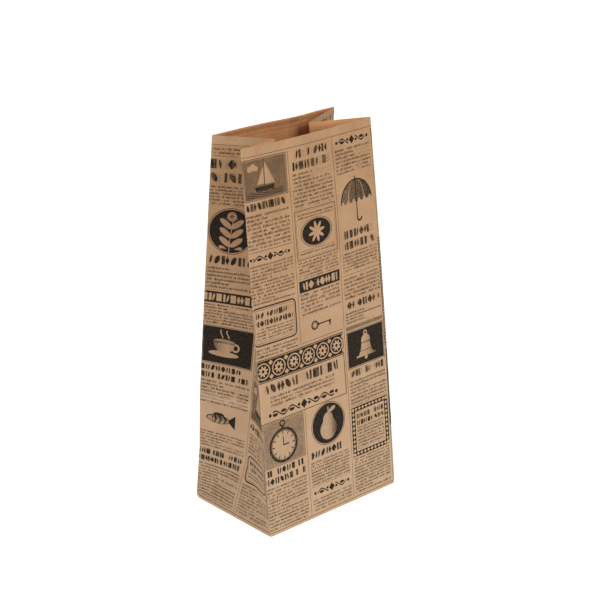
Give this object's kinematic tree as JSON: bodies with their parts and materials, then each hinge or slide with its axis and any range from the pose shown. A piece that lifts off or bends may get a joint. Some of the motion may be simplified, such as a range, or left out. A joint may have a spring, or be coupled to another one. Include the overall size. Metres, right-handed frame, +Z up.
{
  "type": "kraft paper bag",
  "caption": "Small printed kraft paper bag with side gussets and a flat folded base, standing open and empty, its mouth cut straight.",
  "frame": {"origin": "centre of the base, on the ground", "axes": "+Z up to the mouth, front panel facing -Y, gussets on -X and +X"},
  "size_m": [0.1264, 0.082, 0.27],
  "materials": {
    "printed_kraft": "uncoated brown kraft paper, printed outside in brown-black"
  },
  "bodies": {
    "root": {"bag": "printed_kraft"}
  },
  "joints": []
}
